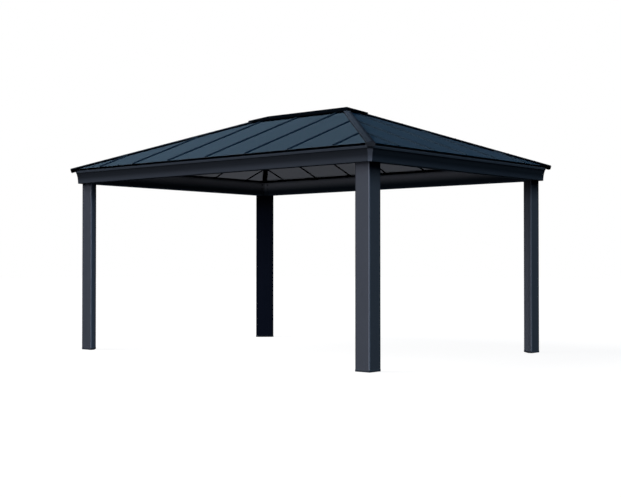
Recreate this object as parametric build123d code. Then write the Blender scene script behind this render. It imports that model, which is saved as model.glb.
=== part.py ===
"""Hardtop garden gazebo: four five-sided aluminium posts carry a ring of beams with built-in gutters, and a
hipped roof of seamed steel panels sits on thin rafters. Millimetres, +Z up, origin on the ground at the
centre of the plan, long side along X, front towards -Y."""

import math
import os

from build123d import *

# --- Frame ------------------------------------------------------------------------------------------
post_span_x = 4680.0  # long side, outer face to outer face of the posts
post_span_y = 3408.0  # short side, the same
headroom = 2127.0  # ground to the underside of the beams

post_width = 186.0  # each of the two outer faces
post_wall = 3.0
post_round = 5.0

foot_height = 22.0
foot_floor = 5.0
foot_rim = 2.0  # how far the foot stands proud of the post
foot_clear = 0.4  # gap round the post in its foot
anchor_hole = 11.0
anchor_along = 130.0  # outer corner to each anchor hole, along one outer face
anchor_inset = 34.0  # and in from that face

# --- Beam and gutter --------------------------------------------------------------------------------
beam_width = 48.0  # the closed box; the posts' end faces are the same width
beam_height = 198.0
beam_wall = 3.0
gutter_wall = 3.0
gutter_floor_width = 52.0  # bottom of the gutter, out from the post's face
gutter_flare = 20.0  # how much wider the gutter is under its lip
gutter_face_height = 128.0
lip_height = 30.0
lip_proud = 6.0
lip_chamfer = 4.0
beam_soffit_round = 10.0
joint_gap = 0.3  # between pieces that butt together

# --- Roof -------------------------------------------------------------------------------------------
roof_pitch = 21.0  # degrees, the same on all four slopes
panel_pitch = 636.0  # seam to seam
eave_overhang = 51.0  # panel edge beyond the post's face, over the gutter
least_end_panel = 200.0  # narrowest panel allowed beside a corner

sheet = 2.0
seam_half_gap = 3.5  # seam line to the fold of a panel
fold_height = 12.0
seam_cap_width = 16.0
seam_cap_wall = 2.0
seam_cap_clear = 1.0  # above the folds

rafter_width = 19.0
rafter_depth = 12.0
rafter_wall = 2.0
rafter_seat = 12.0  # length of the level cut that rests on the beam

hip_rafter_width = 67.0
hip_rafter_depth = 33.0
hip_rafter_wall = 3.0
hip_cap_width = 86.0
hip_cap_rise = 24.0  # top of the cap above the panels at the hip
hip_cap_shoulder = 6.0
hip_cap_side_rise = 18.0
hip_cap_wall = 2.2
hip_panel_gap = 6.0  # panel edge to the hip line
nose_reach = 66.0  # how far the hip runs on past the bevelled corner of the gutter
nose_depth = 29.0
nose_wall = 3.0

ridge_beam_width = 60.0
ridge_beam_depth = 45.0
hub_across_flats = 200.0
hub_depth = 76.0
hub_wall = 8.0
ridge_panel_gap = 12.0
ridge_cap_reach = 200.0  # ridge line to the skirt's lower edge
ridge_cap_splay = 6.0  # how much the skirt leans out
ridge_cap_skirt = 18.0
ridge_cap_wall = 2.5
ridge_cap_rise = 31.0  # top of the cap above the panels at the ridge
ridge_cap_extra = 24.0  # its crest runs this far past the ridge at each end

# --- Worked out from the values above ---------------------------------------------------------------
half_x, half_y = post_span_x / 2, post_span_y / 2
ridge_half = half_x - half_y
run = half_y + eave_overhang
root2 = math.sqrt(2)
beam_top = headroom + beam_height
gutter_reach = gutter_floor_width + gutter_flare + lip_proud
gutter_height = gutter_face_height + lip_height
gutter_top = headroom + gutter_height
hip_run = half_y + (gutter_reach + nose_reach) / root2  # ridge to the tip of a hip, square to the side

angle = math.radians(roof_pitch)
rise, cosine, sine = math.tan(angle), math.cos(angle), math.sin(angle)
ridge_z = beam_top + rafter_depth / cosine + rise * (half_y - rafter_seat)  # undersides of the panels
eave_z = ridge_z - run * rise
panel_top_z = ridge_z + sheet / cosine

hip_angle = math.atan(rise / math.sqrt(2))
hip_fall = math.sin(hip_angle)  # drop of the panels across a hip, square to it
hip_sheet = sheet * math.hypot(1, hip_fall)
hip_cap_bottom = hip_sheet - hip_fall * (hip_cap_width / 2 - hip_cap_wall) + joint_gap
mitre = math.tan(math.radians(22.5))

SIDES = {
    "front": (Rot(0, 0, 0), half_x, half_y),
    "right": (Rot(0, 0, 90), half_y, half_x),
    "back": (Rot(0, 0, 180), half_x, half_y),
    "left": (Rot(0, 0, 270), half_y, half_x),
}
CORNERS = {
    "front_right": (1, -1, 0),
    "back_right": (1, 1, 90),
    "back_left": (-1, 1, 180),
    "front_left": (-1, -1, 270),
}


def save(name, *solids):
    export_step(Compound(list(solids)), f"parts/{name}.step")


def polygon(*points):
    return make_face(Polyline(*points, close=True))


def prism(points, low, high):
    """A plan outline raised from one height to another."""
    return Pos(0, 0, low) * extrude(polygon(*points), high - low)


def at_corner(x_sign, y_sign, turn):
    """Moves a piece drawn at the front right corner, corner point at the origin, to its own corner."""
    return Pos(x_sign * half_x, y_sign * half_y, 0) * Rot(0, 0, turn)


# --- Posts and feet: drawn with the outer corner at the origin, outer faces along -X and +Y ---------------
def post_outline():
    """Two outer faces at the corner, two narrow end faces and a diagonal face across the inside."""
    outline = polygon(
        (0, 0), (0, post_width), (-beam_width, post_width), (-post_width, beam_width), (-post_width, 0)
    )
    return fillet(outline.vertices(), post_round)


def post():
    outline = post_outline()
    section = outline - offset(outline, -post_wall)
    return Pos(0, 0, foot_floor) * extrude(section, headroom - foot_floor)


def foot():
    outline = post_outline()
    block = extrude(offset(outline, foot_rim), foot_height)
    pocket = extrude(offset(outline, foot_clear), foot_height)
    rim_edges = block.faces().sort_by(Axis.Z)[-1].outer_wire().edges()
    body = chamfer(rim_edges, foot_rim / 3) - Pos(0, 0, foot_floor) * pocket
    hole = Cylinder(anchor_hole / 2, 3 * foot_floor)
    return body - Pos(-anchor_along, anchor_inset, 0) * hole - Pos(-anchor_inset, anchor_along, 0) * hole


# --- Beams with built-in gutters ------------------------------------------------------------------------
def gutter_floor_section():
    """Flat floor from the beam to the face: x out from the post's face, y up from the soffit."""
    length = gutter_floor_width - gutter_wall - joint_gap
    return Pos(length / 2, gutter_wall / 2) * Rectangle(length, gutter_wall)


def gutter_face_section():
    """Hollow-curved face and square lip of the gutter, in the same axes as its floor."""
    face_radius = (gutter_face_height**2 + gutter_flare**2) / (2 * gutter_flare)
    centre = gutter_floor_width + face_radius

    def face_point(height, inset=0.0):
        return centre - math.sqrt((face_radius + inset) ** 2 - height**2), height

    half_way = gutter_face_height / 2
    inner_x, _ = face_point(gutter_face_height, gutter_wall)
    outer_face = ThreePointArc((gutter_floor_width, 0), face_point(half_way), face_point(gutter_face_height))
    lip = Polyline(
        outer_face @ 1,
        (gutter_reach, gutter_face_height + lip_chamfer),
        (gutter_reach, gutter_height - lip_chamfer),
        (gutter_reach - lip_chamfer, gutter_height),
        (inner_x, gutter_height),
        (inner_x, gutter_face_height),
    )
    inner_face = ThreePointArc(lip @ 1, face_point(half_way, gutter_wall), face_point(0, gutter_wall))
    edge = Line(inner_face @ 1, (gutter_floor_width, 0))
    return make_face([outer_face, lip, inner_face, edge])


def beam_section():
    box = Pos(-beam_width / 2, beam_height / 2) * Rectangle(beam_width, beam_height)
    box = fillet(box.vertices().group_by(Axis.X)[0], beam_soffit_round)
    return box - offset(box, -beam_wall)


def beam(half_length):
    """One side of the ring, its post face on y = 0 and looking towards -Y, mitred at both ends."""
    plane = Plane(origin=(0, 0, headroom), x_dir=(0, -1, 0), z_dir=(-1, 0, 0))
    bar = extrude(plane * beam_section(), half_length, both=True)
    inner = half_length - beam_width - joint_gap
    middle = half_length - joint_gap
    keep = [(inner, beam_width), (middle, 0), (-middle, 0), (-inner, beam_width)]
    return bar & prism(keep, headroom - 1, beam_top + 1)


def gutter(half_length):
    """The gutter of one side, hung face to face on its beam and cut to meet the bevelled corners."""
    plane = Plane(origin=(0, 0, headroom), x_dir=(0, -1, 0), z_dir=(-1, 0, 0))
    middle = half_length - joint_gap
    reach = 3 * gutter_floor_width
    outer = middle + reach * mitre
    keep = prism([(middle, 0), (outer, -reach), (-outer, -reach), (-middle, 0)], headroom - 1, beam_top)
    sections = (gutter_floor_section(), gutter_face_section())
    return [extrude(plane * section, outer, both=True) & keep for section in sections]


def gutter_corner():
    """The bevelled corner of the gutter, a wedge between the two mitred ends."""
    out = (1 / root2, -1 / root2)
    plane = Plane(origin=(0, 0, headroom), x_dir=(*out, 0), z_dir=(-1 / root2, -1 / root2, 0))
    reach = 3 * gutter_floor_width
    wedge = prism([(0, 0), (reach, -reach * mitre), (reach * mitre, -reach)], headroom - 1, beam_top)
    keep = Pos(joint_gap, -joint_gap, 0) * wedge
    sections = (gutter_floor_section(), gutter_face_section())
    return [extrude(plane * section, reach, both=True) & keep for section in sections]


# --- Roof slopes: drawn as the front slope, ridge on y = 0 and the ridge's half length passed in ---------
def slope_plane():
    return Plane(origin=(0, -run, eave_z), x_dir=(1, 0, 0), z_dir=(0, -sine, cosine))


def up_slope(distance):
    """Height on the slope plane of a line at this plan distance from the ridge."""
    return (run - distance) / cosine


def seam_lines(half_ridge):
    count = int((half_ridge + run - least_end_panel) // panel_pitch)
    return [panel_pitch * n for n in range(-count, count + 1)]


def slope_area(half_ridge, hip_inset, ridge_inset):
    """The slope's outline in its own plane, kept this far from the hips and the ridge."""
    top = max(ridge_inset, hip_inset * root2 - half_ridge)
    low_half = half_ridge + run - hip_inset * root2
    top_half = half_ridge + top - hip_inset * root2
    points = [(-low_half, 0), (low_half, 0), (top_half, up_slope(top))]
    if top_half > 0:
        points.append((-top_half, up_slope(top)))
    return polygon(*points)


def strip(start, end):
    """A band of the slope plane that runs from eave to ridge."""
    return polygon((start, -1), (end, -1), (end, up_slope(-1)), (start, up_slope(-1)))


def roof_panels(half_ridge):
    """Flat pans with a fold standing up along every seam."""
    plate_area = slope_area(half_ridge, hip_panel_gap, ridge_panel_gap)
    fold_area = slope_area(half_ridge, hip_cap_width / 2 + 1, 2 * ridge_panel_gap)
    seams = seam_lines(half_ridge)
    edges = [-half_ridge - run, *seams, half_ridge + run]
    panels = []
    for start, end in zip(edges, edges[1:]):
        pan = extrude(plate_area & strip(start + seam_half_gap, end - seam_half_gap), sheet)
        folds = [start + seam_half_gap] if start in seams else []
        folds += [end - seam_half_gap - sheet] if end in seams else []
        for line in folds:
            pan += extrude(fold_area & strip(line, line + sheet), sheet + fold_height)
        panels.append(slope_plane() * pan)
    return panels


def seam_caps(half_ridge):
    """Folded channels pushed down over each pair of folds, resting on the pans."""
    area = slope_area(half_ridge, hip_cap_width / 2 + 1, 2 * ridge_panel_gap)
    height = fold_height + seam_cap_clear + seam_cap_wall
    half, inner = seam_cap_width / 2, seam_cap_width / 2 - seam_cap_wall
    caps = []
    for line in seam_lines(half_ridge):
        channel = extrude(area & strip(line - half, line + half), height)
        channel -= extrude(strip(line - inner, line + inner), height - seam_cap_wall)
        caps.append(slope_plane() * Pos(0, 0, sheet) * channel)
    return caps


def rafters(half_ridge):
    """Square tubes under the seams, with a level seat on the beam."""
    outer, inner = rafter_width / 2, rafter_width / 2 - rafter_wall
    top_half = ridge_beam_width / 2 + joint_gap
    side = (hip_rafter_width / 2 + joint_gap) * root2
    low = half_y - joint_gap
    high = max(top_half, side - half_ridge)
    low_x = half_ridge + low - side
    high_x = half_ridge + high - side + 0.001
    keep = prism([(-low_x, -low), (low_x, -low), (high_x, -high), (-high_x, -high)], beam_top, ridge_z)
    hubs = hub_blank(joint_gap)
    clear_of = [Pos(s * half_ridge, 0, 0) * hubs for s in ((-1, 1) if half_ridge else (1,))]
    bars = []
    for line in seam_lines(half_ridge):
        tube = extrude(strip(line - outer, line + outer), -rafter_depth)
        tube -= Pos(0, 0, -rafter_wall) * extrude(
            strip(line - inner, line + inner), 2 * rafter_wall - rafter_depth
        )
        tube = (slope_plane() * tube) & keep
        for hub in clear_of:
            tube -= hub
        bars.append(tube)
    return bars


# --- Ridge ----------------------------------------------------------------------------------------------
def hipped_solid(profile, half_ridge, extra=0.0):
    """A hipped form from pairs of (distance out from the ridge line, height), lowest first."""
    across = [(-d, z) for d, z in profile] + [(d, z) for d, z in reversed(profile) if d > 0]
    ends = [(half_ridge + max(d, extra), z) for d, z in profile]
    along = [(-x, z) for x, z in ends] + ends[::-1]
    reach = half_ridge + profile[0][0] + 10
    one = extrude(Plane.YZ * polygon(*across), reach, both=True)
    other = extrude(Plane.XZ * polygon(*along), profile[0][0] + 10, both=True)
    return one & other


def hub_blank(grow=0.0):
    """The octagonal block at the end of the ridge, before its top is cut to the slopes."""
    octagon = RegularPolygon(hub_across_flats / 2 + grow, 8, major_radius=False, rotation=22.5)
    return Pos(0, 0, ridge_z - hub_depth - grow) * extrude(octagon, hub_depth + 2 * grow)


def under_roof(drop=0.0):
    return hipped_solid([(run, eave_z - drop), (0, ridge_z - drop)], ridge_half)


def ridge_hub(x_sign):
    """Cast hub that takes the ridge beam, two hips and three rafters; open underneath."""
    shell = Pos(x_sign * ridge_half, 0, 0) * hub_blank()
    hollow = Pos(x_sign * ridge_half, 0, -hub_wall) * hub_blank(-hub_wall)
    hollow += Pos(0, 0, -2 * hub_wall) * hollow
    return (shell & under_roof()) - (hollow & under_roof(hub_wall))


def ridge_beam():
    half = ridge_beam_width / 2

    def section(inset, top, bottom):
        edge = half - inset
        return polygon(
            (-edge, bottom), (edge, bottom), (edge, top - edge * rise), (0, top), (-edge, top - edge * rise)
        )

    outer = section(0, ridge_z, ridge_z - ridge_beam_depth)
    inner = section(
        hip_rafter_wall, ridge_z - hip_rafter_wall / cosine, ridge_z - ridge_beam_depth + hip_rafter_wall
    )
    length = ridge_half - hub_across_flats / 2 - joint_gap
    return extrude(Plane.YZ * (outer - inner), length, both=True)


def hip_cap_top(distance):
    """Height of a hip cap's crest at this plan distance from the ridge."""
    return panel_top_z + hip_cap_rise / math.cos(hip_angle) - rise * distance


def ridge_cap():
    """Raised hipped cover; its skirt rests on the four hip caps and leaves an air gap over the panels."""
    apex = panel_top_z + ridge_cap_rise
    skirt_bottom = hip_cap_top(ridge_cap_reach - ridge_cap_wall) + joint_gap
    edge = ridge_cap_reach - ridge_cap_splay
    outside = [(ridge_cap_reach, skirt_bottom), (edge, skirt_bottom + ridge_cap_skirt), (0, apex)]
    inside = [
        (ridge_cap_reach - ridge_cap_wall, skirt_bottom - 1),
        (edge - ridge_cap_wall, skirt_bottom + ridge_cap_skirt - ridge_cap_wall),
        (0, apex - ridge_cap_wall),
    ]
    inner_extra = ridge_cap_extra - ridge_cap_wall
    return hipped_solid(outside, ridge_half, ridge_cap_extra) - hipped_solid(inside, ridge_half, inner_extra)


# --- Hips: drawn with the ridge end at the origin, running out towards +X and -Y --------------------------
def hip_plane():
    fall, level = math.sin(hip_angle), math.cos(hip_angle) / root2
    return Plane(origin=(0, 0, ridge_z), x_dir=(1 / root2, 1 / root2, 0), z_dir=(level, -level, -fall))


def along_hip(distance):
    """Length down the hip to a point at this plan distance from the ridge."""
    return distance * root2 / math.cos(hip_angle)


def hip_section(half, crest, shoulder, side_top, bottom):
    return polygon(
        (-half, bottom), (-half, side_top - shoulder), (-half + shoulder, side_top), (0, crest),
        (half - shoulder, side_top), (half, side_top - shoulder), (half, bottom),
    )


def hip_cap_outline(inset=0.0):
    """Outside of the hip cap, whose flanges end just above the panels."""
    half = hip_cap_width / 2
    side_top = hip_cap_bottom + hip_cap_side_rise + hip_cap_shoulder
    crest = hip_sheet + hip_cap_rise
    return hip_section(half - inset, crest - inset, hip_cap_shoulder, side_top - inset, hip_cap_bottom)


def quadrant(low_x, high_y, reach):
    """Plan area of one corner of the roof, for trimming a hip."""
    box = [(low_x, high_y), (reach, high_y), (reach, -reach), (low_x, -reach)]
    return prism(box, headroom, ridge_z + 100)


def hip_cap():
    """Channel over the joint of two slopes, from under the ridge cap out past the gutter."""
    length = along_hip(hip_run)
    start = along_hip(ridge_cap_reach / 3)
    section = hip_cap_outline() - Pos(0, -1) * hip_cap_outline(hip_cap_wall) - hip_cap_outline(hip_cap_wall)
    bar = hip_plane() * Pos(0, 0, start) * extrude(section, length - start - nose_wall - joint_gap)
    return bar & quadrant(0, -joint_gap, 2 * run)


def nose_form(wall=0.0):
    """The nose's tray as a solid, or its hollow: level over the corner of the gutter, then along the hip."""
    half = (hip_cap_width - hip_cap_wall) / 2 - wall
    corner = half_y * root2
    plan = [
        (corner + joint_gap + wall, -half), (corner + gutter_reach + nose_reach / 2, -half),
        (corner + gutter_reach + nose_reach / 2, half), (corner + joint_gap + wall, half),
    ]
    level = Rot(0, 0, -45) * prism(plan, gutter_top + joint_gap + wall, ridge_z)
    bottom = wall - nose_depth
    section = polygon((-half, bottom), (half, bottom), (half, hip_cap_rise), (-half, hip_cap_rise))
    start = (corner + gutter_reach + joint_gap + nose_depth * hip_fall) / math.cos(hip_angle)
    sloping = Pos(0, 0, start + wall) * extrude(section, along_hip(hip_run) - start)
    return level + hip_plane() * sloping


def roof_space():
    """All that lies above the undersides of the panels, as far out as their lower edges."""
    edge = run + sheet * sine + joint_gap
    block = prism([(0, 0), (edge, 0), (edge, -edge), (0, -edge)], eave_z - joint_gap, ridge_z)
    return block - Pos(-ridge_half, 0, 0) * under_roof(joint_gap)


def hip_nose():
    """Moulded end piece: a plate closes the hip and a tray under the cap closes the corner of the roof."""
    end = along_hip(hip_run)
    side_top = hip_cap_bottom + hip_cap_side_rise + hip_cap_shoulder
    crest = hip_sheet + hip_cap_rise
    plate = hip_section(hip_cap_width / 2, crest, hip_cap_shoulder, side_top, -nose_depth)
    top = hip_cap_bottom - joint_gap
    under_cap = polygon((-run, -run), (run, -run), (run, top), (-run, top))
    tray = (nose_form() - nose_form(nose_wall)) & hip_plane() * extrude(under_cap, end)
    return (tray - roof_space()) + hip_plane() * Pos(0, 0, end - nose_wall) * extrude(plate, nose_wall)


def hip_rafter():
    """Wide flat tube under a hip, its top folded to both slopes, with a level seat on the beam corner."""
    half = hip_rafter_width / 2

    def section(inset):
        edge, top = half - inset, -inset
        return polygon(
            (-edge, -hip_rafter_depth + inset), (edge, -hip_rafter_depth + inset),
            (edge, top - hip_fall * edge), (0, top), (-edge, top - hip_fall * edge),
        )

    tube = hip_plane() * extrude(section(0) - section(hip_rafter_wall), along_hip(run))
    edge = half_y - joint_gap
    keep = prism([(0, 0), (edge, 0), (edge, -edge), (0, -edge)], beam_top, ridge_z + 1)
    return (tube & keep) - hub_blank(joint_gap)


def main():
    os.makedirs("parts", exist_ok=True)
    for name, (x_sign, y_sign, turn) in CORNERS.items():
        place = at_corner(x_sign, y_sign, turn)
        ridge_end = Pos(x_sign * ridge_half, 0, 0) * Rot(0, 0, turn)
        save(f"post_{name}", place * post())
        save(f"foot_{name}", place * foot())
        save(f"gutter_corner_{name}", *[place * piece for piece in gutter_corner()])
        save(f"hip_rafter_{name}", ridge_end * hip_rafter())
        save(f"hip_cap_{name}", ridge_end * hip_cap(), ridge_end * hip_nose())
    for name, (turn, half_length, distance) in SIDES.items():
        save(f"{name}_beam", turn * Pos(0, -distance, 0) * beam(half_length))
        save(f"{name}_gutter", *[turn * Pos(0, -distance, 0) * piece for piece in gutter(half_length)])
        half_ridge = ridge_half if name in ("front", "back") else 0.0
        place = turn * Pos(0, half_ridge - ridge_half, 0)
        save(f"{name}_roof_panels", *[place * panel for panel in roof_panels(half_ridge)])
        save(f"{name}_seam_caps", *[place * cap for cap in seam_caps(half_ridge)])
        save(f"{name}_rafters", *[place * bar for bar in rafters(half_ridge)])
    save("ridge_beam", ridge_beam())
    save("ridge_hub_left", ridge_hub(-1))
    save("ridge_hub_right", ridge_hub(1))
    save("ridge_cap", ridge_cap())


main()
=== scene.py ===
import math

import bmesh
import bpy
from mathutils import Matrix, Vector


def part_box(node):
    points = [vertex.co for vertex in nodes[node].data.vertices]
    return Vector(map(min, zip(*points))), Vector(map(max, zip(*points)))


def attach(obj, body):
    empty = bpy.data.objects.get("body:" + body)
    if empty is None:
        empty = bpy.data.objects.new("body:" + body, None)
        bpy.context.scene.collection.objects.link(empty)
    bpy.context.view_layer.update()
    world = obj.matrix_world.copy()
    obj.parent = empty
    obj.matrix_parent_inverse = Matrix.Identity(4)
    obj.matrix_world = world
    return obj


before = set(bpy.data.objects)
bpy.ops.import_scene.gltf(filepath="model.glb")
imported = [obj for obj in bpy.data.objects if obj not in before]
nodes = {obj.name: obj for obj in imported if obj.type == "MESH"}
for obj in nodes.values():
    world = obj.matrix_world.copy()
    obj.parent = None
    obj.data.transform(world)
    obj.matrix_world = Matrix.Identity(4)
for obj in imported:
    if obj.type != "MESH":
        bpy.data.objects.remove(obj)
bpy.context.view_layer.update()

# --- Posts ----------------------------------------------------------------------------------------------
# Four five-sided aluminium extrusions, powder coated in a blue-grey satin.
# Strips along the outer edges carry a painted highlight or painted shade, the inward faces painted shade,
# and the tops a painted shadow under the gutter.


class Signal:
    """The output of a shader node, so that shader maths reads as arithmetic."""

    def __init__(self, finish, socket):
        self.finish = finish
        self.socket = socket

    def maths(self, operation, *values, clamp=False):
        settings = {"operation": operation, "use_clamp": clamp}
        return self.finish.node("Math", settings, dict(enumerate([self, *values])))

    def __add__(self, other):
        return self.maths("ADD", other)

    def __sub__(self, other):
        return self.maths("SUBTRACT", other)

    def __mul__(self, other):
        return self.maths("MULTIPLY", other)

    def __rsub__(self, other):
        return Signal(self.finish, (self * -1.0 + other).socket)

    def __gt__(self, other):
        return self.maths("GREATER_THAN", other)

    def __lt__(self, other):
        return self.maths("LESS_THAN", other)

    __radd__ = __add__
    __rmul__ = __mul__

    def sign(self):
        return self.maths("SIGN")

    def size(self):
        return self.maths("ABSOLUTE")

    def ramp(self, low, high, start=0.0, end=1.0):
        """Smoothly from start to end while this runs from low to high."""
        settings = {"interpolation_type": "SMOOTHSTEP"}
        return self.finish.node("MapRange", settings, dict(enumerate([self, low, high, start, end])))


class Finish:
    """A material, built one node at a time."""

    def __init__(self, name):
        self.material = bpy.data.materials.new(name)
        self.material.use_nodes = True
        self.tree = self.material.node_tree
        self.tree.nodes.clear()

    def node(self, kind, settings=None, sockets=None, output=0):
        made = self.tree.nodes.new("ShaderNode" + kind)
        for key, value in (settings or {}).items():
            setattr(made, key, value)
        for key, value in (sockets or {}).items():
            if isinstance(value, Signal):
                self.tree.links.new(value.socket, made.inputs[key])
            else:
                made.inputs[key].default_value = value
        return Signal(self, made.outputs[output])

    def place(self):
        """Where the surface is, on the object's own axes, whole and by axis."""
        where = self.node("TexCoord", output="Object")
        return where, *[self.node("SeparateXYZ", {}, {0: where}, axis) for axis in range(3)]

    def facing(self):
        """Which way the surface faces, whole and by axis."""
        normal = self.node("TexCoord", output="Normal")
        return normal, *[self.node("SeparateXYZ", {}, {0: normal}, axis) for axis in range(3)]

    def noise(self, where, scale, detail=2.0, roughness=0.5):
        sockets = {"Vector": where, "Scale": scale, "Detail": detail, "Roughness": roughness}
        return self.node("TexNoise", {}, sockets)

    def mix(self, factor, first, second):
        return self.node("Mix", {"data_type": "RGBA"}, {0: factor, 6: first, 7: second}, 2)

    def pick(self, mask, yes, no):
        """One number where the mask is 1 and another where it is 0."""
        return self.node("Mix", {"data_type": "FLOAT"}, {0: mask, 2: no, 3: yes})

    def shade(self, colour, amount):
        """A colour made darker or lighter by an amount that varies over the surface."""
        grey = self.node("CombineColor", {}, {0: amount, 1: amount, 2: amount})
        settings = {"data_type": "RGBA", "blend_type": "MULTIPLY"}
        return self.node("Mix", settings, {0: 1.0, 6: colour, 7: grey}, 2)

    def surface(self, colour, roughness, normal):
        """A coat with no specular, because a white studio would lighten its dark faces."""
        sockets = {"Base Color": colour, "Roughness": roughness, "Normal": normal}
        sockets["Specular IOR Level"] = 0.0
        self.node_out(self.node("BsdfPrincipled", {}, sockets))

    def node_out(self, shader):
        out = self.tree.nodes.new("ShaderNodeOutputMaterial")
        self.tree.links.new(shader.socket, out.inputs["Surface"])


def screen(red, green, blue):
    """A colour given as it shows on a screen, 0 to 255."""
    parts = [v / 255 for v in (red, green, blue)]
    return (*[v / 12.92 if v < 0.04045 else ((v + 0.055) / 1.055) ** 2.4 for v in parts], 1.0)


def powder_coat(finish, where):
    """The orange-peel skin of a powder coat: its brightness, roughness and relief."""
    cloud = finish.noise(where, 3.0)
    speckle = finish.noise(where, 240.0, 3.0)
    relief = finish.noise(where, 520.0)
    tone = 1.0 + (cloud - 0.5) * 0.10 + (speckle - 0.5) * 0.10
    rough = 0.42 + (speckle - 0.5) * 0.12
    bump = finish.node("Bump", {}, {"Strength": 0.15, "Distance": 0.0004, "Height": relief})
    return tone, rough, bump


def dress(names, finish):
    """Gives CAD pieces a finish."""
    for name in names:
        nodes[name].data.materials.clear()
        nodes[name].data.materials.append(finish.material)


def paint_posts(name, corner_tone, end_tone, inside_tone):
    finish = Finish(name)
    where, x, y, z = finish.place()
    _, nx, ny, _ = finish.facing()
    tone, rough, bump = powder_coat(finish, where)
    low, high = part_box("post_back_right")
    in_x, in_y = high[0] - x.size(), high[1] - y.size()
    edge = 0.012
    wide = high[0] - low[0] - edge
    # Painted highlight and painted shade: corner_tone lightens or darkens the outer corner strip, end_tone
    # the end strips.
    corner = (in_x < edge) * (in_y < edge)
    end = (in_x < edge) * (in_y > wide) + (in_y < edge) * (in_x > wide)
    inside = finish.pick(nx * x.sign() < -0.3, 1.0, ny * y.sign() < -0.3)
    beside = nx.size().maths("MAXIMUM", inside) > 0.8
    # Painted shadow under the gutter, deeper on the side and inward faces; painted shade on the inward
    # faces by inside_tone; and a little darker towards the bottom.
    under_gutter = z.ramp(1.84, 2.127, 1.0, 1.0 - beside * 0.7) * z.ramp(1.98, 2.127, 1.0, 0.88)
    tone = tone * (1.0 + corner * (corner_tone - 1.0) + end * (end_tone - 1.0))
    tone = tone * (1.0 - inside * (1.0 - inside_tone)) * under_gutter * z.ramp(0.0, 1.8, 0.96, 1.02)
    finish.surface(finish.shade(screen(56, 59, 67), tone), rough, bump)
    return finish


# Two copies: this one paints a highlight on the outer corner strip and shade on the end strips, the second
# the reverse.
post_finish = paint_posts("post_powder_coat", 2.4, 0.6, 0.7)
dress(["post_front_right", "post_back_left"], post_finish)
end_highlight_finish = paint_posts("post_powder_coat_painted_end_highlights", 0.6, 2.4, 0.7)
dress(["post_front_left", "post_back_right"], end_highlight_finish)

# --- Feet -----------------------------------------------------------------------------------------------
# A shallow cast shoe round the end of each post, bolted to the ground from inside.
# Same coat as the posts, a little rougher, and darker in its lowest 2 cm where it meets the ground.


def paint_feet():
    finish = Finish("foot_powder_coat")
    where, _, _, z = finish.place()
    tone, rough, bump = powder_coat(finish, where)
    # Darker towards the ground, over the lowest 2 cm.
    ground_darkening = z.ramp(0.0, 0.02, 0.75, 1.0)
    finish.surface(finish.shade(screen(54, 58, 66), tone * ground_darkening), rough + 0.1, bump)
    return finish


dress([n for n in nodes if n.startswith("foot_")], paint_feet())

# --- Beams and gutters ----------------------------------------------------------------------------------
# Aluminium extrusions, roll-formed hollow on the outside and closed with a square lip over the hollow.
# The gutter face's direction is turned down along its hollow and carries bands of painted shade; the beams'
# inner side carries painted shade, darkest at its bottom.


def tilted(finish, tilt):
    """The surface's direction turned down by an angle in radians, for a face that is gently hollow."""
    normal, _, _, _ = finish.facing()
    level = finish.node("VectorMath", {"operation": "SCALE"}, {0: normal, "Scale": tilt.maths("COSINE")})
    down = finish.node("CombineXYZ", {}, {2: tilt.maths("SINE") * -1.0})
    bent = finish.node("VectorMath", {"operation": "ADD"}, {0: level, 1: down})
    settings = {"vector_type": "NORMAL", "convert_from": "OBJECT", "convert_to": "WORLD"}
    return finish.node("VectorTransform", settings, {0: bent})


def paint_gutters(name, bevel_tone):
    finish = Finish(name)
    where, _, _, z = finish.place()
    _, nx, ny, nz = finish.facing()
    tone, rough, _ = powder_coat(finish, where)
    lip = z > 2.256
    face = (nz > -0.9) * (1.0 - lip)
    hollow = 0.26 - z.ramp(2.19, 2.24, 0.0, 0.50)
    bent = tilted(finish, hollow * face)
    # Painted shade: the face darkens towards its top and a little at its very bottom, the lip is a little
    # darker and the underside is painted near black.
    shade = z.ramp(2.145, 2.235, 1.25, 0.33) * z.ramp(2.127, 2.145, 0.85, 1.0)
    # The bevelled corner strip carries a painted highlight when bevel_tone is above 1 and a painted dark
    # strip when below, halving towards its top.
    bevel = (nx * ny).size() > 0.3
    bevel_shade = z.ramp(2.127, 2.25, bevel_tone, bevel_tone * 0.5)
    tone = tone * finish.pick(bevel, bevel_shade, finish.pick(face, shade, finish.pick(lip, 0.7, 0.1)))
    finish.surface(finish.shade(screen(51, 56, 65), tone), rough, bent)
    return finish


def paint_beams():
    finish = Finish("beam_powder_coat")
    where, _, _, z = finish.place()
    _, _, _, nz = finish.facing()
    tone, rough, bump = powder_coat(finish, where)
    # Painted shade on the inner side: dark bluish at the bottom and just under the roof panels, grey
    # between, and the underside painted darker.
    painted_lightness = z.ramp(2.175, 2.285) * z.ramp(2.285, 2.325, 1.0, 0.35)
    coat = finish.mix(painted_lightness, screen(14, 19, 25), screen(60, 62, 68))
    soffit = nz < -0.9
    finish.surface(finish.shade(coat, tone * (1.0 - soffit * 0.5)), rough, bump)
    return finish


sides = ("front", "right", "back", "left")
gutter_finish = paint_gutters("gutter_powder_coat", 1.9)
dress([n for n in nodes if n.endswith("_gutter")], gutter_finish)
dress(["gutter_corner_front_right", "gutter_corner_back_left"], gutter_finish)
# This copy paints the bevelled corners dark as shade; the copy above paints them with a highlight.
dark_bevel_finish = paint_gutters("gutter_powder_coat_dark_bevel", 0.1)
dress(["gutter_corner_front_left", "gutter_corner_back_right"], dark_bevel_finish)
dress([f"{side}_beam" for side in sides], paint_beams())


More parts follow.
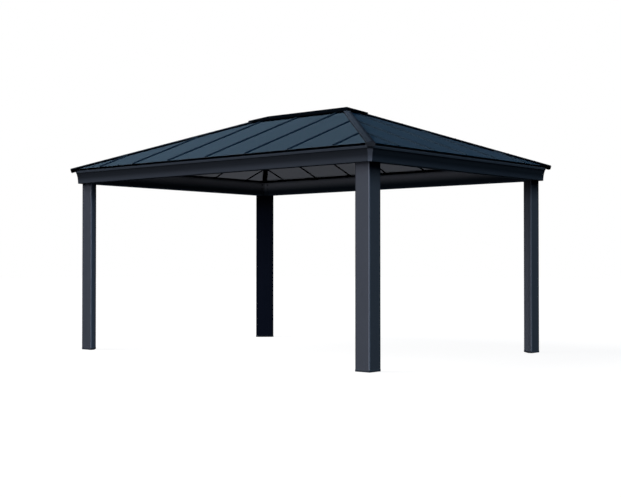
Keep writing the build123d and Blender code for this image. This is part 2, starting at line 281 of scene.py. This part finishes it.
def add_head(plan, at, out, radius, height, corners):
    """A screw or bolt head with a socket, on a round washer that lies on a surface."""
    place = Matrix.Translation(at) @ out.to_track_quat("Z", "Y").to_matrix().to_4x4()
    thick = 0.0016
    for sides, wide, narrow, low, tall in (
        (20, radius * 1.6, radius * 1.5, 0.0, thick),
        (corners, radius, radius * 0.96, thick, height),
    ):
        up = Matrix.Translation((0.0, 0.0, low + tall / 2 - 0.0003))
        disc = bmesh.ops.create_cone(
            plan, cap_ends=True, segments=sides, radius1=wide, radius2=narrow, depth=tall, matrix=place @ up
        )
        plan.normal_update()
        faces = {face for vert in disc["verts"] for face in vert.link_faces}
        top = max(faces, key=lambda face: face.calc_center_median().dot(out))
        bmesh.ops.inset_individual(plan, faces=[top], thickness=narrow * 0.12, depth=tall * 0.15)
    bmesh.ops.inset_individual(plan, faces=[top], thickness=radius * 0.38, depth=0.0)
    bmesh.ops.inset_individual(plan, faces=[top], thickness=radius * 0.03, depth=-height * 0.5)


def add_fasteners(name, slot, finish, spots, radius, height, corners):
    """One piece holding every screw of a kind; a spot is a point on a surface and the way it faces."""
    plan = bmesh.new()
    for at, out in spots:
        add_head(plan, at, out, radius, height, corners)
    mesh = bpy.data.meshes.new(name)
    plan.to_mesh(mesh)
    plan.free()
    mesh.materials.append(finish.material)
    piece = bpy.data.objects.new(name, mesh)
    bpy.context.collection.objects.link(piece)
    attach(piece, "root")


def paint_fasteners():
    """The powder coat of the beams, a little darker."""
    finish = Finish("fastener_coat")
    where, _, _, _ = finish.place()
    tone, rough, bump = powder_coat(finish, where)
    finish.surface(finish.shade(screen(40, 43, 49), tone), rough, bump)
    return finish


def beam_bolt_spots():
    """Three bolts near each end of a beam, on the face towards the inside."""
    spots = []
    for side, along, across, way in (
        ("front", 0, 1, 1),
        ("back", 0, 1, -1),
        ("right", 1, 0, -1),
        ("left", 1, 0, 1),
    ):
        low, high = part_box(f"{side}_beam")
        face = (high if way > 0 else low)[across]
        for end in (low[along] + 0.105, high[along] - 0.105):
            for z in (low[2] + 0.04, (low[2] + high[2]) / 2, high[2] - 0.04):
                at, out = Vector((0.0, 0.0, z)), Vector((0.0, 0.0, 0.0))
                at[along], at[across], out[across] = end, face, way
                spots.append((at, out))
    return spots


fastener_finish = paint_fasteners()
add_fasteners("beam_bolts", "gutter_beams", fastener_finish, beam_bolt_spots(), 0.0075, 0.006, 6)

# --- Roof panels ----------------------------------------------------------------------------------------
# Coil-coated steel pans, matt slate blue on top and a plain grey backing coat underneath.
# Their top carries painted shade, a little darker from left to right, and the sheet is faintly wavy.


def paint_panels():
    finish = Finish("coil_coat")
    where, x, _, _ = finish.place()
    _, _, _, nz = finish.facing()
    cloud = finish.noise(where, 1.7, 3.0)
    grain = finish.noise(where, 420.0)
    waves = finish.noise(where, 6.0, 1.0)
    # Painted shade: the top darkens a little from left to right across X.
    top_tone = (1.0 + (cloud - 0.5) * 0.08 + (grain - 0.5) * 0.05) * x.ramp(-1.2, 1.4, 1.03, 0.87)
    top = finish.shade(screen(57, 73, 86), top_tone)
    backing = finish.shade(screen(64, 65, 68), 1.0 + (cloud - 0.5) * 0.10)
    colour = finish.mix(nz < 0.0, top, backing)
    bump = finish.node("Bump", {}, {"Strength": 0.2, "Distance": 0.002, "Height": waves})
    finish.surface(colour, 0.6 + (grain - 0.5) * 0.1, bump)
    return finish


seam_pitch = 0.636
screw_size = (0.0055, 0.0035, 12)
panel_finish = paint_panels()
dress([f"{side}_roof_panels" for side in sides], panel_finish)


def touch(node, x, y, down=True):
    """Where a line down, or up, through a place in plan meets a piece, and which way it faces."""
    start = Vector((x, y, 4.0 if down else 0.5))
    hit, at, out, _ = nodes[node].ray_cast(start, Vector((0.0, 0.0, -1.0 if down else 1.0)))
    return [(at, out)] if hit else []


def eave_screw_spots():
    """One screw in the middle of each pan, just above the gutter that holds it."""
    spots = []
    out_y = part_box("back_roof_panels")[1][1] - 0.035
    out_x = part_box("right_roof_panels")[1][0] - 0.035
    for sign, long_side, short_side in ((-1, "front", "left"), (1, "back", "right")):
        for step in (-3.3, -2.5, -1.5, -0.5, 0.5, 1.5, 2.5, 3.3):
            spots += touch(f"{long_side}_roof_panels", step * seam_pitch, sign * out_y)
        for step in (-2.3, -1.5, -0.5, 0.5, 1.5, 2.3):
            spots += touch(f"{short_side}_roof_panels", sign * out_x, step * seam_pitch)
    return spots


bpy.context.view_layer.update()
add_fasteners("eave_screws", "roof_sheet", panel_finish, eave_screw_spots(), *screw_size)

# --- Seam caps ------------------------------------------------------------------------------------------
# Narrow folded channels pressed over the standing seams, in a darker slate than the pans.
# The sides that face left or right carry painted light, those that face front or back painted shade.


def paint_seam_caps():
    finish = Finish("seam_cap_coat")
    where, _, _, _ = finish.place()
    _, nx, ny, _ = finish.facing()
    tone, rough, bump = powder_coat(finish, where)
    # Painted light on the sides facing left or right, painted shade on those facing front or back.
    tone = tone * (1.0 + (nx.size() > 0.7) * 1.4) * (1.0 - (ny.size() > 0.7) * 0.15)
    finish.surface(finish.shade(screen(48, 63, 76), tone), rough, bump)
    return finish


dress([f"{side}_seam_caps" for side in sides], paint_seam_caps())

# --- Hip caps and ridge cap -----------------------------------------------------------------------------
# Folded aluminium covers over the roof's joints: grey on the hips, near black on the ridge.
# The hip caps carry painted shade that darkens them towards the eaves; two of the four have their side
# flanges painted near black as shade, the other two grey.


def paint_trim(name, colour):
    finish = Finish(name)
    where, _, _, _ = finish.place()
    tone, rough, bump = powder_coat(finish, where)
    finish.surface(finish.shade(colour, tone), rough, bump)
    return finish


def paint_hip_caps(name, flange):
    finish = Finish(name)
    where, x, y, z = finish.place()
    _, nx, ny, nz = finish.facing()
    tone, rough, bump = powder_coat(finish, where)
    # Painted shade, darker towards the eaves.
    tone = tone * z.ramp(2.3, 2.85, 0.6, 0.95)
    plate = (nx * x.sign() > 0.3) * (ny * y.sign() > 0.3)
    side = finish.mix(plate, flange, screen(50, 55, 63))
    colour = finish.mix(nz > 0.6, side, screen(47, 55, 65))
    finish.surface(finish.shade(colour, tone), rough, bump)
    return finish


# Lit and shaded copies: the second paints the side flanges near black as shade.
grey_flange = paint_hip_caps("hip_powder_coat_grey_flange", screen(38, 42, 48))
dark_flange = paint_hip_caps("hip_powder_coat_dark_flange", screen(9, 12, 18))
dress(["hip_cap_front_right", "hip_cap_back_left"], grey_flange)
dress(["hip_cap_front_left", "hip_cap_back_right"], dark_flange)
ridge_finish = paint_trim("ridge_powder_coat", screen(5, 8, 13))
dress(["ridge_cap"], ridge_finish)


def hip_screw_spots(name):
    """Pairs of screws down a hip cap, one each side of its fold."""
    low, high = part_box(name)
    sign_x = math.copysign(1, low[0] + high[0])
    sign_y = math.copysign(1, low[1] + high[1])
    out_x, out_y = max(high[0], -low[0]), max(high[1], -low[1])
    spots = []
    for pair in range(7):
        inward = (0.25 + 0.33 * pair) * math.sqrt(0.5)
        for aside in (-0.020, 0.020):
            across_x, across_y = out_x - inward + aside, out_y - inward - aside
            spots += touch(name, sign_x * across_x, sign_y * across_y)
    return spots


def ridge_screw_spots():
    """Screws along both long skirts of the ridge cap."""
    _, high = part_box("ridge_cap")
    spots = []
    for step in range(-2, 3):
        for sign in (-1, 1):
            spots += touch("ridge_cap", step * high[0] * 0.42, sign * (high[1] - 0.03))
    return spots


for corner, finish in (
    ("front_right", grey_flange),
    ("back_left", grey_flange),
    ("front_left", dark_flange),
    ("back_right", dark_flange),
):
    hip_spots = hip_screw_spots(f"hip_cap_{corner}")
    add_fasteners(f"hip_screws_{corner}", "hip_trim", finish, hip_spots, *screw_size)
add_fasteners("ridge_screws", "ridge_cap", ridge_finish, ridge_screw_spots(), *screw_size)

# --- Roof frame -----------------------------------------------------------------------------------------
# Thin steel tubes and two cast hubs under the panels, coated black.
# Bolts go up through the rafters' feet and the hubs.

frame_finish = paint_trim("frame_black_coat", screen(9, 10, 14))
dress([f"{side}_rafters" for side in sides], frame_finish)
dress([n for n in nodes if n.startswith("hip_rafter_")], frame_finish)
dress(["ridge_beam", "ridge_hub_left", "ridge_hub_right"], frame_finish)


def frame_bolt_spots():
    """A bolt up through the foot of each rafter, and four up through each hub."""
    spots = []
    foot_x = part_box("right_beam")[0][0] - 0.05
    foot_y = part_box("back_beam")[0][1] - 0.05
    for sign, long_side, short_side in ((-1, "front", "left"), (1, "back", "right")):
        for step in range(-3, 4):
            spots += touch(f"{long_side}_rafters", step * seam_pitch, sign * foot_y, down=False)
        for step in range(-2, 3):
            spots += touch(f"{short_side}_rafters", sign * foot_x, step * seam_pitch, down=False)
        for side, way in (("front", -1), ("back", 1)):
            hip = f"hip_rafter_{side}_{short_side}"
            spots += touch(hip, sign * (foot_x - 0.05), way * (foot_y - 0.05), down=False)
        for across in (-0.065, 0.065):
            for along in (-0.065, 0.065):
                hub = f"ridge_hub_{short_side}"
                spots += touch(hub, sign * seam_pitch + along, across, down=False)
    return spots


add_fasteners("frame_bolts", "roof_frame", frame_finish, frame_bolt_spots(), 0.0045, 0.0045, 6)

# --- Floor, lamps and camera ----------------------------------------------------------------------------
# A white floor and backdrop, which the object's shadow falls on softly.
# The main lamp is front left, with cool ones high and right, one behind and three from below.
# All lamps are linked to chosen pieces, and the far post is lit by two of its own.


def lay_floor():
    mesh = bpy.data.meshes.new("floor")
    plan = bmesh.new()
    bmesh.ops.create_grid(plan, x_segments=1, y_segments=1, size=60.0)
    plan.to_mesh(mesh)
    plan.free()
    floor = bpy.data.objects.new("floor", mesh)
    bpy.context.collection.objects.link(floor)
    floor.location.z = -0.001
    finish = Finish("floor_white")
    seen = seen_rays(finish)
    white = finish.node("Emission", {}, {"Color": (1.0, 1.0, 1.0, 1.0), "Strength": 0.93})
    paper = finish.node("BsdfDiffuse", {}, {"Color": (0.13, 0.13, 0.13, 1.0)})
    black = finish.node("BsdfDiffuse", {}, {"Color": (0.0, 0.0, 0.0, 1.0)})
    lit = finish.node("AddShader", {}, {0: white, 1: paper})
    finish.node_out(finish.node("MixShader", {}, {0: seen, 1: black, 2: lit}))
    mesh.materials.append(finish.material)
    floor.visible_shadow = False


def seen_rays(finish):
    """One for the rays that show a thing: straight, reflected or through glass."""
    parts = [
        finish.node("LightPath", output=name)
        for name in ("Is Camera Ray", "Is Glossy Ray", "Is Transmission Ray")
    ]
    return parts[0].maths("MAXIMUM", parts[1].maths("MAXIMUM", parts[2]))


def light_world():
    world = bpy.data.worlds.new("studio")
    bpy.context.scene.world = world
    world.use_nodes = True
    finish = Finish.__new__(Finish)
    finish.tree = world.node_tree
    finish.tree.nodes.clear()
    seen = seen_rays(finish)
    white = finish.node("Background", {}, {"Color": (1.0, 1.0, 1.0, 1.0), "Strength": 1.0})
    dusk = finish.node("Background", {}, {"Color": (0.35, 0.60, 1.0, 1.0), "Strength": 0.20})
    shader = finish.node("MixShader", {}, {0: seen, 1: dusk, 2: white})
    out = finish.tree.nodes.new("ShaderNodeOutputWorld")
    finish.tree.links.new(shader.socket, out.inputs["Surface"])


def lamp(name, towards, colour, strength, softness=20.0, shadow=True):
    """A broad distant lamp; strength 1 shows a surface that faces it in its own colour."""
    light = bpy.data.lights.new(name, "SUN")
    light.energy = math.pi * strength
    light.color = colour
    light.angle = math.radians(softness)
    light.use_shadow = shadow
    holder = bpy.data.objects.new(name, light)
    holder.rotation_mode = "QUATERNION"
    holder.rotation_quaternion = Vector(towards).to_track_quat("Z", "Y")
    bpy.context.collection.objects.link(holder)
    return holder


def shine_on(holder, names):
    """Keeps a lamp to some of the pieces, and so off all the others."""
    lit = bpy.data.collections.new(holder.name + "_receivers")
    for name in names:
        lit.objects.link(bpy.data.objects[name])
    holder.light_linking.receiver_collection = lit


def set_camera():
    """Eye height, right of the front corner and turned to look back across the plan."""
    data = bpy.data.cameras.new("camera")
    data.sensor_width = 36.0
    data.lens = 64.27
    camera = bpy.data.objects.new("camera", data)
    camera.location = (9.2325, -10.5198, 1.094)
    camera.rotation_euler = (math.radians(90.8014), 0.0, math.radians(41.0612))
    bpy.context.collection.objects.link(camera)
    bpy.context.scene.camera = camera


lay_floor()
light_world()
white = (1.0, 1.0, 1.0)
wide = 50.0
far_post = "post_back_left"
carriers = ("post_", "foot_", "gutter_corner")
stands = [n for n in nodes if n.startswith(carriers) or n.endswith("_gutter")]
under_sky = [n for n in [*stands, *[f"{side}_beam" for side in sides]] if n != far_post]
seen_side = ("front_roof", "right_roof", "front_seam", "right_seam", "hip_cap_front_right")
behind = [n for n in nodes if not n.startswith(seen_side) and n != far_post]
meshes = [o.name for o in bpy.context.scene.objects if o.type == "MESH" and o.name != far_post]

key = lamp("key_lamp", (-0.598, -0.598, 0.534), (1.0, 0.967, 0.93), 1.50, wide)
shine_on(key, meshes)
far_post_lamp = lamp("far_post_lamp", (-0.7, 0.7, 0.10), white, 1.20)
shine_on(far_post_lamp, [far_post])
far_post_fill = lamp("far_post_fill", (0.7, -0.7, 0.10), (0.5, 0.6, 1.0), 0.18)
shine_on(far_post_fill, [far_post])
low = lamp("low_lamp", (-0.5, -0.86, -0.05), (1.0, 0.98, 0.98), 0.33)
shine_on(low, ["post_front_right", "post_front_left"])
low_side = lamp("low_side_lamp", (-0.7, -0.7, 0.05), white, 1.2)
shine_on(low_side, ["post_back_right"])
far_side = lamp("far_side_lamp", (1.0, 0.1, 0.0), (0.62, 0.82, 1.0), 0.8)
shine_on(far_side, ["post_front_left"])
sky = lamp("sky_lamp", (0.40, -0.07, 0.914), (0.735, 0.933, 1.0), 1.27, wide)
shine_on(sky, under_sky)
corner_light = lamp("corner_lamp", (0.62, -0.75, 0.15), (1.0, 0.98, 0.98), 0.75)
shine_on(corner_light, ["hip_cap_front_right", "gutter_corner_front_right"])
back = lamp("back_lamp", (-0.30, 0.85, 0.43), (1.0, 0.99, 0.98), 0.95, wide)
shine_on(back, behind)
cool = lamp("cool_lamp", (0.97, 0.0, 0.24), (0.1, 0.6, 1.0), 0.30)
shine_on(cool, ["right_roof_panels", "right_seam_caps"])
ceiling = lamp("ceiling_lamp", (0.322, 0.0, -0.947), (0.95, 0.98, 1.03), 0.985)
shine_on(ceiling, [f"{side}_roof_panels" for side in sides])
from_front = lamp("beam_lamp_front", (0.08, -0.186, -0.98), white, 1.96, shadow=False)
shine_on(from_front, ["back_beam", "left_beam"])
from_back = lamp("beam_lamp_back", (-0.08, 0.186, -0.98), white, 1.96, shadow=False)
shine_on(from_back, ["front_beam", "right_beam"])
set_camera()
bpy.context.scene.view_settings.view_transform = "Standard"
